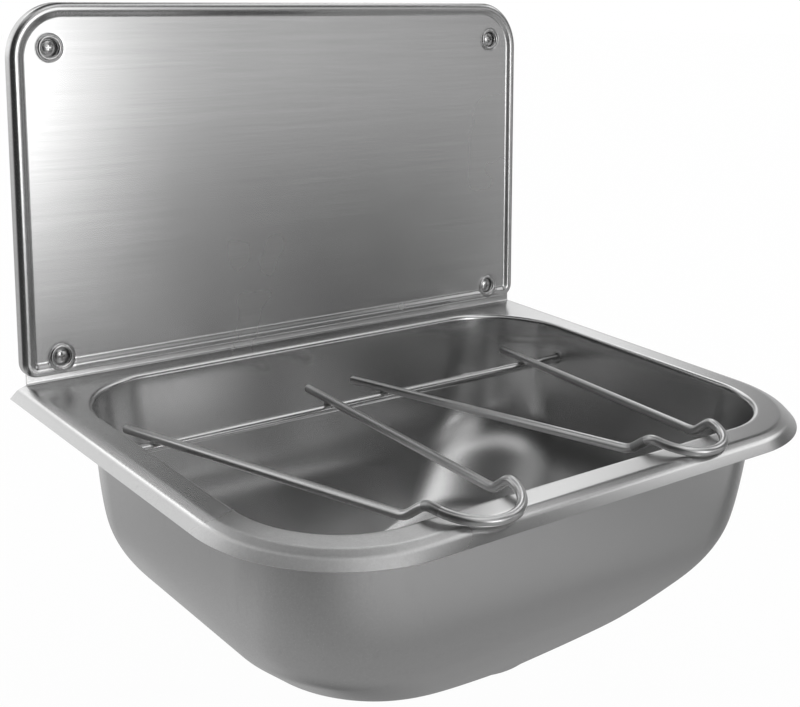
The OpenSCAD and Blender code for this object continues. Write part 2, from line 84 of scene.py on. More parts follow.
def eased(a, b, c, cut, steps):
    # rounds the corner b between a and c
    a, b, c = Vector(a), Vector(b), Vector(c)
    p = b + (a - b).normalized() * min(cut, (a - b).length / 2)
    q = b + (c - b).normalized() * min(cut, (c - b).length / 2)
    return [bent(p, b, q, i / steps) for i in range(steps + 1)]


def roundedLine(points, cuts, steps=4):
    out = [Vector(points[0])]
    for k in range(1, len(points) - 1):
        out += eased(points[k - 1], points[k], points[k + 1], cuts[k - 1], steps)
    return out + [Vector(points[-1])]


def relaxed(points, step, rounds):
    # the same line in even steps, its corners rounded as a bender's former would leave them
    line, run = [Vector(p) for p in points], [0]
    for p, q in zip(line, line[1:]):
        run.append(run[-1] + (q - p).length)
    count, k, out = int(run[-1] / step), 0, []
    for i in range(count + 1):
        at = run[-1] * i / count
        while k < len(line) - 2 and run[k + 1] < at:
            k += 1
        out.append(line[k].lerp(line[k + 1], (at - run[k]) / max(1e-9, run[k + 1] - run[k])))
    for _ in range(rounds):
        out = [out[0]] + [(a + b * 2 + c) / 4 for a, b, c in zip(out, out[1:], out[2:])] + [out[-1]]
    return out


def smoothLine(points, steps):
    c = [Vector(p) for p in points]
    out = []
    for k in range(1, len(c) - 1):
        p = c[0] if k == 1 else (c[k - 1] + c[k]) / 2
        q = c[-1] if k == len(c) - 2 else (c[k] + c[k + 1]) / 2
        out += [bent(p, c[k], q, i / steps) for i in range(steps + (k == len(c) - 2))]
    return out


def smoothStep(low, high, value):
    t = min(1, max(0, (value - low) / (high - low)))
    return t * t * (3 - 2 * t)


def shadeSmooth(mesh, sharp):
    mesh.polygons.foreach_set("use_smooth", [True] * len(mesh.polygons))
    mesh.set_sharp_from_angle(angle=math.radians(sharp))


def tidied(mesh, sharp):
    bm = bmesh.new()
    bm.from_mesh(mesh)
    bmesh.ops.remove_doubles(bm, verts=bm.verts, dist=1e-7)
    bmesh.ops.dissolve_degenerate(bm, edges=bm.edges, dist=1e-8)
    bmesh.ops.recalc_face_normals(bm, faces=bm.faces)
    bm.to_mesh(mesh)
    bm.free()
    shadeSmooth(mesh, sharp)
    return mesh


def meshFrom(name, shape, place=Matrix(), sharp=40):
    verts, faces = shape
    mesh = bpy.data.meshes.new(name)
    mesh.from_pydata([tuple(v) for v in verts], [], faces)
    mesh.transform(toMetres @ place)
    return tidied(mesh, sharp)


def joined(name, meshes, sharp=40):
    bm = bmesh.new()
    for mesh in meshes:
        bm.from_mesh(mesh)
    out = bpy.data.meshes.new(name)
    bm.to_mesh(out)
    bm.free()
    shadeSmooth(out, sharp)
    return out


def placed(name, mesh):
    obj = bpy.data.objects.new(name, mesh)
    bpy.context.scene.collection.objects.link(obj)
    return obj


def cooked(obj, name, helpers=()):
    # plain mesh of an object with its modifiers, which goes away with its helpers
    graph = bpy.context.evaluated_depsgraph_get()
    mesh = bpy.data.meshes.new_from_object(obj.evaluated_get(graph))
    mesh.name = name
    for o in [obj, *helpers]:
        bpy.data.objects.remove(o)
    return mesh


def cutBy(mesh, cutters, name, sharp=40):
    blank = placed("blank", mesh)
    tools = [placed("cutter", c) for c in cutters]
    for tool in tools:
        cut = blank.modifiers.new("cut", "BOOLEAN")
        cut.operation, cut.solver, cut.object = "DIFFERENCE", "EXACT", tool
    out = cooked(blank, name, tools)
    shadeSmooth(out, sharp)
    return out


def addPiece(name, mesh, body, stands=(), material=None):
    piece = placed(name, mesh)
    if material:
        piece.data.materials.clear()
        piece.data.materials.append(material)
    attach(piece, body)
    if stands:
        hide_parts(*stands)


def ringFaces(rings, closed=False):
    n = len(rings[0])
    faces = []
    for j in range(len(rings) - (0 if closed else 1)):
        k = (j + 1) % len(rings)
        faces += [(j * n + i, j * n + (i + 1) % n, k * n + (i + 1) % n, k * n + i) for i in range(n)]
    return [p for r in rings for p in r], faces


def prism(*ends):
    # a block between two oblongs, each given as height, half length and half width
    around = ((1, 1), (-1, 1), (-1, -1), (1, -1))
    verts = [(x * length, y * width, z) for z, length, width in ends for x, y in around]
    faces = [(0, 1, 2, 3), (4, 5, 6, 7)]
    return verts, faces + [(i, (i + 1) % 4, 4 + (i + 1) % 4, 4 + i) for i in range(4)]


def circle(r, height, steps):
    turns = [2 * math.pi * i / steps for i in range(steps)]
    return [(r * math.cos(a), r * math.sin(a), height) for a in turns]


def revolved(profile, steps=64):
    # closed profile of (radius, height), turned about Z
    return ringFaces([circle(p[0], p[1], steps) for p in profile], closed=True)


def turnedSolid(profile, steps=64):
    # profile whose first and last point lie on the axis
    verts, faces = ringFaces([circle(p[0], p[1], steps) for p in profile[1:-1]])
    top = len(verts) - steps
    verts += [(0, 0, profile[0][1]), (0, 0, profile[-1][1])]
    a, b = len(verts) - 2, len(verts) - 1
    for i in range(steps):
        faces += [(a, (i + 1) % steps, i), (b, top + i, top + (i + 1) % steps)]
    return verts, faces


# Helpers for geometry nodes: a tree has named inputs and ends in one material
def newTree(name, inputs):
    tree = bpy.data.node_groups.new(name, "GeometryNodeTree")
    tree.interface.new_socket("Geometry", in_out="INPUT", socket_type="NodeSocketGeometry")
    ids = {}
    for label, value in inputs.items():
        kind = "NodeSocketInt" if isinstance(value, int) else "NodeSocketFloat"
        ids[label] = tree.interface.new_socket(label, in_out="INPUT", socket_type=kind).identifier
    tree.interface.new_socket("Geometry", in_out="OUTPUT", socket_type="NodeSocketGeometry")
    return tree, tree.nodes.new("NodeGroupInput").outputs, ids


def put(tree, kind, values=None, links=None, **settings):
    node = tree.nodes.new(kind)
    for key, value in settings.items():
        setattr(node, key, value)
    for key, value in (values or {}).items():
        node.inputs[key].default_value = value
    for key, socket in (links or {}).items():
        tree.links.new(socket, node.inputs[key])
    return node.outputs


def endTree(tree, geometry, material):
    real = put(tree, "GeometryNodeRealizeInstances", links={"Geometry": geometry})
    coated = put(tree, "GeometryNodeSetMaterial", {"Material": material}, {"Geometry": real["Geometry"]})
    tree.links.new(coated["Geometry"], tree.nodes.new("NodeGroupOutput").inputs["Geometry"])


def grown(name, mesh, made, values, sharp=40):
    tree, ids = made
    blank = placed("blank", mesh)
    growth = blank.modifiers.new("growth", "NODES")
    growth.node_group = tree
    for label, value in values.items():
        growth[ids[label]] = value
    return tidied(cooked(blank, name), sharp)


# Materials
def shaderTree(name):
    m = bpy.data.materials.new(name)
    m.use_nodes = True
    tree = m.node_tree
    return m, tree, tree.nodes["Principled BSDF"], put(tree, "ShaderNodeTexCoord")["Object"]


def noise(tree, place, scale, detail, stretch=(1, 1, 1)):
    if stretch != (1, 1, 1):
        place = put(tree, "ShaderNodeMapping", {"Scale": stretch}, {"Vector": place})["Vector"]
    return put(tree, "ShaderNodeTexNoise", {"Scale": scale, "Detail": detail}, {"Vector": place})["Fac"]


def spread(tree, value, span, fromSpan=(0, 1), smooth=False):
    return put(tree, "ShaderNodeMapRange", {"From Min": fromSpan[0], "From Max": fromSpan[1],
                                            "To Min": span[0], "To Max": span[1]},
               {"Value": value}, interpolation_type="SMOOTHSTEP" if smooth else "LINEAR")["Result"]


def maths(tree, operation, a, b):
    node = tree.nodes.new("ShaderNodeMath")
    node.operation = operation
    for k, v in enumerate((a, b)):
        if isinstance(v, (int, float)):
            node.inputs[k].default_value = v
        else:
            tree.links.new(v, node.inputs[k])
    return node.outputs["Value"]


steelLook = {
    "finer": 3.1, "grainShare": 0.6, "fineShare": 0.4, "grainSpan": (0.7, 1.3), "cloudSpan": (0.3, 0.7),
    "scratchScale": 60, "scratchTone": (1, 0.96), "scratchSpan": (0.62, 0.75),
}
# press and grinding marks round one corner of the skirt, in metres; their lifted base colour there is a painted
# sheen
pressMarksAndSheen = {
    "middle": (-0.215, -0.36, -0.164), "reach": (0.04, 0.11), "flatter": 6, "chatter": (420, 420, 90),
    # tone lifts the base colour in the marks by up to 1.15: a painted sheen, not the steel's own colour
    "blot": 70, "height": 7, "tone": (1, 1.15), "sheenSpan": (0.4, 1.3), "rough": 0.2,
}


def markedAndSheenedSteel(tree, place, w, tone, rough, height):
    x, y, z = w["middle"]
    squashed = put(tree, "ShaderNodeVectorMath", {1: (1, 1, w["flatter"])}, {0: place}, operation="MULTIPLY")
    away = put(tree, "ShaderNodeVectorMath", {1: (x, y, z * w["flatter"])}, {0: squashed["Vector"]},
               operation="DISTANCE")
    near = spread(tree, away["Value"], (1, 0), w["reach"], True)
    chatter = noise(tree, place, 1, 3, w["chatter"])
    blot = noise(tree, place, w["blot"], 4)
    mark = maths(tree, "MULTIPLY", near, maths(tree, "ADD", chatter, blot))
    height = maths(tree, "ADD", height, maths(tree, "MULTIPLY", mark, w["height"]))
    # the marks lift the base colour: a painted sheen on the skirt's corner, over the real chatter, bump and
    # roughness
    tone = maths(tree, "MULTIPLY", tone, spread(tree, mark, w["tone"], w["sheenSpan"]))
    return tone, maths(tree, "ADD", rough, maths(tree, "MULTIPLY", near, w["rough"])), height


def steel(name, f):
    # brushed sheet or wire: fine grain along one way, soft clouds, stray scratches
    look = steelLook
    m, tree, shader, place = shaderTree(name)
    grain = noise(tree, place, 1, 3, f["grain"])
    fine = noise(tree, place, look["finer"], 2, f["grain"])
    cloud = noise(tree, place, f["cloud"], 3)
    tone = spread(tree, maths(tree, "ADD", grain, fine), f["tone"], look["grainSpan"])
    scratch = noise(tree, place, look["scratchScale"], 2, f["scratch"])
    tone = maths(tree, "MULTIPLY", tone, spread(tree, scratch, look["scratchTone"], look["scratchSpan"]))
    rough = spread(tree, cloud, f["rough"], look["cloudSpan"])
    height = maths(tree, "ADD", maths(tree, "MULTIPLY", grain, look["grainShare"]),
                   maths(tree, "MULTIPLY", fine, look["fineShare"]))
    # press marks: real chatter, bump and roughness, with a painted sheen in their lifted base colour
    if f.get("markedWithSheen"):
        tone, rough, height = markedAndSheenedSteel(tree, place, pressMarksAndSheen, tone, rough, height)
    tree.links.new(tone, shader.inputs["Base Color"])
    tree.links.new(rough, shader.inputs["Roughness"])
    shader.inputs["Metallic"].default_value = 1
    if f.get("brushed"):
        shader.inputs["Anisotropic"].default_value = f["brushed"]
        across = put(tree, "ShaderNodeCombineXYZ", {"Z": 1.0})     # light spreads across the grain
        tree.links.new(across["Vector"], shader.inputs["Tangent"])
    bump = put(tree, "ShaderNodeBump", {"Strength": f["bump"], "Distance": f["depth"]}, {"Height": height})
    tree.links.new(bump["Normal"], shader.inputs["Normal"])
    return m


def moulded(name, f):
    # rubber or plastic: fine grain, and wear in patches between a dark and a light tone
    m, tree, shader, place = shaderTree(name)
    grain = noise(tree, place, f["grain"], 5)
    wear = noise(tree, place, f["wear"], 3)
    tone = put(tree, "ShaderNodeMix", {"A": (*f["dark"], 1), "B": (*f["light"], 1)}, {"Factor": wear},
               data_type="RGBA")
    tree.links.new(tone["Result"], shader.inputs["Base Color"])
    tree.links.new(spread(tree, grain, f["rough"]), shader.inputs["Roughness"])
    bump = put(tree, "ShaderNodeBump", {"Strength": f["bump"], "Distance": f["depth"]}, {"Height": grain})
    tree.links.new(bump["Normal"], shader.inputs["Normal"])
    return m


# Grain and scratches are noise scales along X, Y and Z; depth is the bump's, in metres
finishes = {
    "panel": {"grain": (6, 60, 260), "scratch": (0.4, 8, 40), "cloud": 7, "tone": (0.6, 0.64),
              "rough": (0.24, 0.28), "bump": 0.1, "depth": 0.0001, "brushed": 0.5},
    "bowl": {"grain": (700, 700, 700), "scratch": (5, 5, 0.8), "cloud": 9, "tone": (0.6, 0.65),
             "rough": (0.22, 0.27), "bump": 0.05, "depth": 0.0001, "markedWithSheen": True},
    "wire": {"grain": (2600, 90, 2600), "scratch": (20, 0.8, 20), "cloud": 40, "tone": (0.6, 0.68),
             "rough": (0.28, 0.35), "bump": 0.08, "depth": 0.00005},
    "rod": {"grain": (90, 2600, 2600), "scratch": (0.8, 20, 20), "cloud": 40, "tone": (0.6, 0.68),
            "rough": (0.19, 0.25), "bump": 0.08, "depth": 0.00005},
    "bright": {"grain": (1500, 1500, 1500), "scratch": (8, 8, 8), "cloud": 90, "tone": (0.6, 0.7),
               "rough": (0.2, 0.28), "bump": 0.08, "depth": 0.00005},
    "weld": {"grain": (1200, 1200, 1200), "scratch": (8, 8, 8), "cloud": 300, "tone": (0.34, 0.5),
             "rough": (0.3, 0.42), "bump": 0.2, "depth": 0.0002},
}
steels = [steel(name + "Steel", finish) for name, finish in finishes.items()]
panelSteel, bowlSteel, wireSteel, rodSteel, brightSteel, weldSteel = steels
rubber = moulded("rubber", {
    "grain": 900, "wear": 35, "dark": (0.02, 0.02, 0.02), "light": (0.045, 0.045, 0.045),
    "rough": (0.6, 0.8), "bump": 0.2, "depth": 0.0002})
wasteWhite = moulded("wasteWhite", {
    "grain": 500, "wear": 35, "dark": (0.72, 0.72, 0.7), "light": (0.79, 0.79, 0.77),
    "rough": (0.35, 0.5), "bump": 0.06, "depth": 0.0002})
print("materials made")

# Bowl: one pressing from the skirt's edge down to the waste. The wall gives the inset
# of the sides, the inset of front and back, the depth and the corner radius.
bowl = {
    "deckHalf": 247.0, "deckFront": 375.9, "deckCornerR": 91.9, "rimBack": 125,
    "rim": [(13.09, -8.4), (6.9, -2.35), (0, 0), (-3.2, 0)],
    "rimCuts": [2.2, 2.0],
    "halfW": 228, "back": 26.5, "front": 354.5, "cornerR": 72, "lipR": 4, "lipFlat": 1.5, "depth": 177,
    "wall": [(0, 0, 3, 72), (2, 0, 66, 80), (11, 6, 108, 84), (47, 28, 141, 84), (73, 50, 166, 84),
             (172, 60, 177, 84)],
    "seatR": 39, "seatRound": 3, "seatDrop": 3, "seatLean": 2, "seatEase": [0.9, 0.9], "holeR": 26, "cut": 5.2,
    "rodBack": 99.7, "rodDrop": 30.4, "boreR": 4.05, "pocketDepth": 4,
    # the pocket's rim on both faces of the wall, and the hole that it stands in
    "rimInside": (6.8, -0.04), "rimOutside": (8, 1.02), "rimTuck": (7.2, 0.5), "pocketHoleR": 6.4,
    "pocketHoleHalf": 3, "insideEase": [1.6, 0.6], "outsideEase": [1.2, 1.2],
}
drainY = -(bowl["front"] + bowl["back"]) / 2
onDrain = onDeck @ Matrix.Translation((0, drainY, 0))
arcSteps = 36


def ring(halfW, front, back, r, height):
    # an oblong with rounded corners round the bowl's middle line
    r = min(r, halfW - 0.5, (back - front) / 2 - 0.5)
    out = []
    for corner in range(4):
        cx = halfW - r if corner in (0, 3) else r - halfW
        cy = back - r if corner < 2 else front + r
        for i in range(arcSteps + 1):
            a = math.radians(90 * (corner + i / arcSteps))
            out.append((cx + r * math.cos(a), cy + r * math.sin(a), height))
    return out


def drainRing(r, height):
    turns = [math.radians(90 * (corner + i / arcSteps)) for corner in range(4) for i in range(arcSteps + 1)]
    return [(r * math.cos(a), drainY + r * math.sin(a), height) for a in turns]


def bowlStations(b):
    # half width, front, back, corner radius and height of each ring, from the skirt to the floor
    s = [(b["deckHalf"] + p[0], -(b["deckFront"] + p[0]), b["rimBack"] + p[0], b["deckCornerR"] + p[0], p[1])
         for p in roundedLine(b["rim"], b["rimCuts"], 6)]
    lip, turns = b["lipR"], [math.radians(90 * i / 8) for i in range(9)]
    outs = [(lip + b["lipFlat"], 0)] + [(lip * (1 - math.sin(a)), lip * (math.cos(a) - 1)) for a in turns]
    s += [(b["halfW"] + o, -(b["front"] + o), o - b["back"], b["cornerR"] + o, z) for o, z in outs]
    s += [(b["halfW"] - w[0], w[1] - b["front"], -b["back"] - w[1], w[3], -w[2])
          for w in smoothLine(b["wall"], 12)[1:]]
    return s


def underStations(top):
    # the same stations, one sheet's thickness along the section's normal
    section = [Vector(((s[0] - s[1]) / 2, s[4])) for s in top]
    runs = [(q - p).normalized() for p, q in zip(section, section[1:])]
    out = []
    for i, s in enumerate(top):
        a, c = runs[max(0, i - 1)], runs[min(i, len(runs) - 1)]
        mid = (a + c).normalized()
        k = sheetT / max(0.5, mid.dot(a))
        dx, dz = -mid[1] * k, mid[0] * k
        out.append((s[0] + dx, s[1] - dx, s[2] + dx, s[3] + dx, s[4] + dz))
    return out


def bowlShell(b):
    top = bowlStations(b)
    r, low, foot = b["seatR"], -b["depth"], -b["depth"] - b["seatDrop"]
    seat = roundedLine([(r + b["seatRound"], low), (r, low), (r - b["seatLean"], foot), (b["holeR"], foot)],
                       b["seatEase"], 4)
    rings = [ring(*s) for s in top] + [drainRing(p[0], p[1]) for p in seat]
    rings += [drainRing(p[0], p[1] - sheetT) for p in reversed(seat)]
    rings += [ring(*s) for s in reversed(underStations(top))]
    mesh = meshFrom("bowlShell", ringFaces(rings, closed=True), onDeck)
    bm = bmesh.new()
    bm.from_mesh(mesh)
    bmesh.ops.bisect_plane(bm, geom=bm.verts[:] + bm.edges[:] + bm.faces[:], dist=1e-7,
                           plane_co=(0, -b["cut"] * mm, 0), plane_no=(0, 1, 0), clear_outer=True)
    bmesh.ops.holes_fill(bm, edges=[e for e in bm.edges if e.is_boundary], sides=0)
    bmesh.ops.recalc_face_normals(bm, faces=bm.faces)
    bm.to_mesh(mesh)
    bm.free()
    return mesh


def wallInset(b, depth):
    line = smoothLine(b["wall"], 12)
    for p, q in zip(line, line[1:]):
        if p[2] <= depth <= q[2]:
            return p[0] + (q[0] - p[0]) * (depth - p[2]) / (q[2] - p[2])
    return 0


def makeBowl(b):
    wallX = b["halfW"] - wallInset(b, b["rodDrop"])
    cutters, cups = [], []
    bore, deep = b["boreR"], b["pocketDepth"]
    (inR, inZ), (outR, outZ) = b["rimInside"], b["rimOutside"]
    wide, low = bore + sheetT, deep + sheetT
    inner = roundedLine([(inR, inZ), (bore, inZ), (bore, deep), (0, deep)], b["insideEase"], 6)
    outer = roundedLine([(0, low), (wide, low), (wide, outZ), (outR, outZ)], b["outsideEase"], 6)
    loop = [(max(p[0], 0), p[1]) for p in [*reversed(inner), b["rimTuck"], *reversed(outer)]]
    r, half = b["pocketHoleR"], b["pocketHoleHalf"]
    for side in (-1, 1):
        axis = onDeck @ Matrix.Translation((side * wallX, -b["rodBack"], -b["rodDrop"])) \
            @ Matrix.Rotation(math.radians(side * 90), 4, "Y")
        cutters.append(meshFrom("cutter", turnedSolid([(0, -half), (r, -half), (r, half), (0, half)]), axis))
        cups.append(meshFrom("cup", turnedSolid(loop), axis))
    shell = cutBy(bowlShell(b), cutters, "bowlShell")
    mesh = joined("bowlPressing", [shell, *cups])
    addPiece("bowlPressing", mesh, "sink", ["bowl"], bowlSteel)


makeBowl(bowl)
print("bowl made")


# Splashback: a sheet pressed with a bead and four dishes. Its loops of points lie at
# steps from the edge, closer where the lower dishes cut into the bead.
splash = {
    "halfW": 250, "bottom": -131.7, "top": 151.7, "topR": 42, "footR": 12.2,
    "beadW": 11.4, "beadRise": 2.5, "beadMargins": (0.6, 1.4), "edgeR": 4.2, "stand": 8.2, "flankStart": 5.4,
    "screwX": 218.5, "screwZ": 118, "dishR": 12.8, "seatR": 10.8, "seatFade": (0.05, 0.6),
    "valleyR": 10, "valleyDrop": 0.8, "ringRise": 1, "ringGap": 0.2,
    "cupR": 6.8, "cupLean": 0.15, "cupStand": 4.2, "holeR": 4.4,
    "neckStand": 6.2, "neckHalf": 247.0, "neckTop": -120.5, "neckLap": 0.02, "neckToe": 1.1,
    "neckEase": [0.3, 0.8, 0.2], "drillGap": 0.5, "drillHigh": 12,
    "loopStep": 8, "loopGap": 0.2, "closeReach": 22, "closeStep": 2, "closer": 8,
}


def beadHeight(s, d):
    # height over the wall at a distance from the sheet's edge
    crest = s["stand"] + s["beadRise"]
    if d < s["edgeR"]:
        return crest - s["edgeR"] + math.sqrt(max(0, s["edgeR"] ** 2 - (s["edgeR"] - d) ** 2))
    if d < s["flankStart"]:
        return crest
    if d < s["beadW"]:
        t = (d - s["flankStart"]) / (s["beadW"] - s["flankStart"])
        return s["stand"] + s["beadRise"] * (1 + math.cos(math.pi * t)) / 2
    return s["stand"]


def edgeDistance(s, x, y):
    x = abs(x)
    r = s["topR"] if y > 0 else s["footR"]
    dx = x - (s["halfW"] - r)
    dy = (y - (s["top"] - r)) if y > 0 else ((s["bottom"] + r) - y)
    if dx > 0 and dy > 0:
        return r - math.hypot(dx, dy)
    return min(s["halfW"] - x, s["top"] - y, y - s["bottom"])


def sheetOutline(s, inset):
    half, low, high = s["halfW"] - inset, s["bottom"] + inset, s["top"] - inset
    corners = [(1, 1, s["topR"], 20), (-1, 1, s["topR"], 20), (-1, -1, s["footR"], 10), (1, -1, s["footR"], 10)]
    arcs = []
    for k, (sx, sy, r, n) in enumerate(corners):
        r = max(r - inset, 0.02)
        cx, cy = sx * (half - r), (high - r if sy > 0 else low + r)
        turns = [math.radians(90 * (k + i / n)) for i in range(n + 1)]
        arcs.append([(cx + r * math.cos(a), cy + r * math.sin(a)) for a in turns])
    out = []
    for k, arc in enumerate(arcs):
        (ax, ay), (bx, by) = arc[-1], arcs[(k + 1) % 4][0]
        steps = max(1, int(math.dist((ax, ay), (bx, by)) / s["loopStep"]))
        out += arc + [(ax + (bx - ax) * i / steps, ay + (by - ay) * i / steps) for i in range(1, steps)]
    return out


def seatLine(s):
    # radius and height across a screw's seat, from the panel over the valley and the ring into the cup
    low, halfW = s["stand"] - s["valleyDrop"], (s["valleyR"] - s["ringGap"] - s["cupR"]) / 2
    rise, turns = s["valleyDrop"] + s["ringRise"], [math.radians(180 * i / 16) for i in range(1, 16)]
    arc = [(s["cupR"] + halfW * (1 + math.cos(a)), low + rise * math.sin(a)) for a in turns]
    valley = [(s["dishR"], s["stand"]), (s["seatR"], s["stand"]), (s["valleyR"], low), arc[0]]
    cup = [arc[-1], (s["cupR"] - s["cupLean"], s["cupStand"]), (s["holeR"], s["cupStand"])]
    return roundedLine(valley, [0.5, 0.3]) + [Vector(p) for p in arc[1:-1]] + roundedLine(cup, [0.5])


def sheetFace(s):
    # front face of the sheet: loops of equal height, joined into triangles
    dish = seatLine(s)
    spots = [(x, z) for x in (-s["screwX"], s["screwX"]) for z in (-s["screwZ"], s["screwZ"])]
    insets = [s["edgeR"] * (1 - math.cos(math.radians(90 * i / 10))) for i in range(11)]
    insets += [s["flankStart"] + (s["beadW"] - s["flankStart"]) * i / 14 for i in range(15)]
    insets += [s["beadW"] + margin for margin in s["beadMargins"]]
    points, edges = [], []
    seatIn, seatOut = s["seatR"] - s["seatFade"][0], s["seatR"] + s["seatFade"][1]

    def dishHeight(r):
        for p, q in zip(dish, dish[1:]):
            if q[0] <= r <= p[0]:
                t = 0 if p[0] == q[0] else (p[0] - r) / (p[0] - q[0])
                return p[1] + (q[1] - p[1]) * t
        return s["stand"] if r > dish[0][0] else dish[-1][1]

    def height(x, y):
        base = beadHeight(s, edgeDistance(s, x, y))
        for cx, cy in spots:
            r = math.hypot(x - cx, y - cy)
            if r < dish[0][0]:
                return dishHeight(r) + (base - s["stand"]) * smoothStep(seatIn, seatOut, r)
        return base

    def addLoop(loop, keep=lambda p: True):
        index = {}
        for i, p in enumerate(loop):
            if keep(p):
                index[i] = len(points)
                points.append(Vector(p))
        for i in range(len(loop)):
            j = (i + 1) % len(loop)
            if i in index and j in index:
                edges.append((index[i], index[j]))

    def clearOfDishes(p):
        return all(math.hypot(p[0] - cx, p[1] - cy) > dish[0][0] + s["loopGap"] for cx, cy in spots)

    def dense(loop):
        out, n = [], s["closer"]
        for p, q in zip(loop, loop[1:] + loop[:1]):
            out.append(p)
            away = min(math.hypot((p[0] + q[0]) / 2 - cx, (p[1] + q[1]) / 2 - cy) for cx, cy in spots)
            if away < s["closeReach"] and math.dist(p, q) > s["closeStep"]:
                out += [(p[0] + (q[0] - p[0]) * i / n, p[1] + (q[1] - p[1]) * i / n) for i in range(1, n)]
        return out

    addLoop(sheetOutline(s, 0))
    edgeCount = len(points)
    for inset in insets[1:]:
        addLoop(dense(sheetOutline(s, inset)), clearOfDishes)
    for cx, cy in spots:
        for p in dish:
            addLoop([(cx + x, cy + y) for x, y, _ in circle(p[0], 0, 96)])
    coords, _, tris, *_ = delaunay_2d_cdt(points, edges, [], 0, 1e-5)
    faces = []
    for t in tris:
        m = sum((coords[i] for i in t), Vector((0, 0))) / len(t)
        if all(math.hypot(m[0] - cx, m[1] - cy) > dish[-1][0] * 0.999 for cx, cy in spots):
            faces.append(tuple(t))
    verts = [(c[0], c[1], height(c[0], c[1])) for c in coords]
    start = len(verts)
    for x, y, _ in verts[:edgeCount]:     # the edge turns back to the wall, or to the neck strip
        onFoot = y < s["bottom"] + 0.01 and abs(x) < s["halfW"] - s["footR"] + 0.01
        verts.append((x, y, s["neckStand"] - sheetT if onFoot else 0))
    for i in range(edgeCount):
        j = (i + 1) % edgeCount
        faces.append((i, j, start + j, start + i))
    return verts, faces


def makeSplash(s):
    sheet = placed("sheetBlank", meshFrom("sheetBlank", sheetFace(s), onWall, 50))
    if sum((p.normal * p.area for p in sheet.data.polygons), Vector()).y > 0:
        sheet.data.flip_normals()
    skin = sheet.modifiers.new("skin", "SOLIDIFY")
    skin.thickness, skin.offset, skin.use_even_offset = sheetT * mm, -1, True
    mesh = cooked(sheet, "splashSheet")
    shadeSmooth(mesh, 50)
    addPiece("splashSheet", mesh, "sink", ["splashback"], panelSteel)
    # the neck strip stands on the deck and is cut away round the two lower screws
    face, high, toe = s["neckStand"], s["neckTop"], s["neckToe"]
    low = deckHeight - face * math.tan(math.radians(deckFall)) + s["neckLap"]
    profile = roundedLine([(face - sheetT, high), (face, high), (face, low + toe), (face + toe, low),
                           (face - sheetT, low)], s["neckEase"])
    ends = [[(x, -p[0], p[1]) for p in profile] for x in (-s["neckHalf"], s["neckHalf"])]
    verts, faces = ringFaces(ends)
    n = len(profile)
    faces += [tuple(range(n)), tuple(range(2 * n - 1, n - 1, -1))]
    r, long = s["cupR"] + s["drillGap"], s["drillHigh"]
    drills = [meshFrom("drill", turnedSolid([(0, 0), (r, 0), (r, long), (0, long)], 96),
                       onWall @ Matrix.Translation((x, -s["screwZ"], 0))) for x in (-s["screwX"], s["screwX"])]
    strip = cutBy(meshFrom("neckStrip", (verts, faces)), drills, "neckStrip")
    addPiece("neckStrip", strip, "sink", (), panelSteel)


makeSplash(splash)
print("splashback made")

# Grate: a rod and two hairpins of wire welded on it
grate = {
    "rodR": 4, "rodBack": 99.7, "rodDrop": 30.4, "rodHalf": 230.9, "chamfer": 0.8,
    "wireR": 3.38, "wireSides": 28, "weldSink": 0.3, "legSpread": 156.6, "tail": 37, "legRise": 4.3,
    "jogFoot": 336, "jogTop": 352, "jogH": 8, "loopStart": 357, "loopGap": 0.4, "loopSteps": 48,
    "step": 1.0, "bendRounds": 30,
    # chamfered ends: how far in from the end, and how much thinner there
    "wireEnd": ((0, 0.7), (0.35, 0.3), (0.8, 0)),
    # place on the rod, turn, distance between the legs at the loop, butt weld's place along the wire
    "hairpins": {"left": (-108.3, 1.6, 68.8, 0.43), "right": (104.3, -0.9, 61.6, 0.415)},
    "weldBead": (3.5, 3.5, 1.5), "weldRough": 0.5, "weldLow": 0.1, "buttHalf": 7, "buttSwell": 0.03,
}


def makeRod(g):
    r, c, half = g["rodR"], g["chamfer"], g["rodHalf"]
    profile = [(0, -half), (r - c, -half), (r, c - half), (r, half - c), (r - c, half), (0, half)]
    place = onDeck @ Matrix.Translation((0, -g["rodBack"], -g["rodDrop"])) \
        @ Matrix.Rotation(math.radians(90), 4, "Y")
    mesh = meshFrom("rod", turnedSolid(profile), place)
    addPiece("rod", mesh, "grate", ["pivot_rod"], rodSteel)


def hairpinPlace(g, x, turn):
    return onDeck @ Matrix.Translation((x, -g["rodBack"], 0)) @ Matrix.Rotation(math.radians(turn), 4, "Z") \
        @ Matrix.Translation((0, g["rodBack"], 0))


